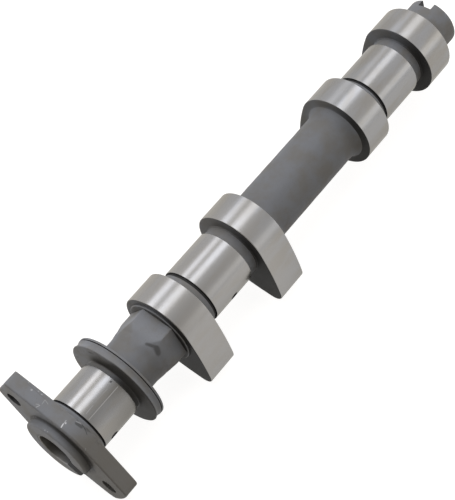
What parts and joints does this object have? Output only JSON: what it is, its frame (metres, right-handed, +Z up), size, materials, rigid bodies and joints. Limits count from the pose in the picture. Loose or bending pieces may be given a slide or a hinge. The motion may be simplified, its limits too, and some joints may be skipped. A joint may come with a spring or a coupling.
{
  "type": "camshaft",
  "caption": "Overhead camshaft with a two-eared sprocket flange, thrust collar, wrench hexagon, ground journals and lobes, and a slotted drive end.",
  "frame": {"origin": "centre of the two sprocket bolt holes, in the flange's front face, on the shaft's axis", "axes": "+X along the shaft from the flange to the slotted end; +Z up with the shaft lying at rest on an ear, the collar side and the far lobes' noses"},
  "size_m": [0.2301, 0.054, 0.0426],
  "materials": {
    "cam_iron": "dark as cast, with journals and lobes ground bright"
  },
  "bodies": {
    "root": {"camshaft": "cam_iron"}
  },
  "joints": []
}
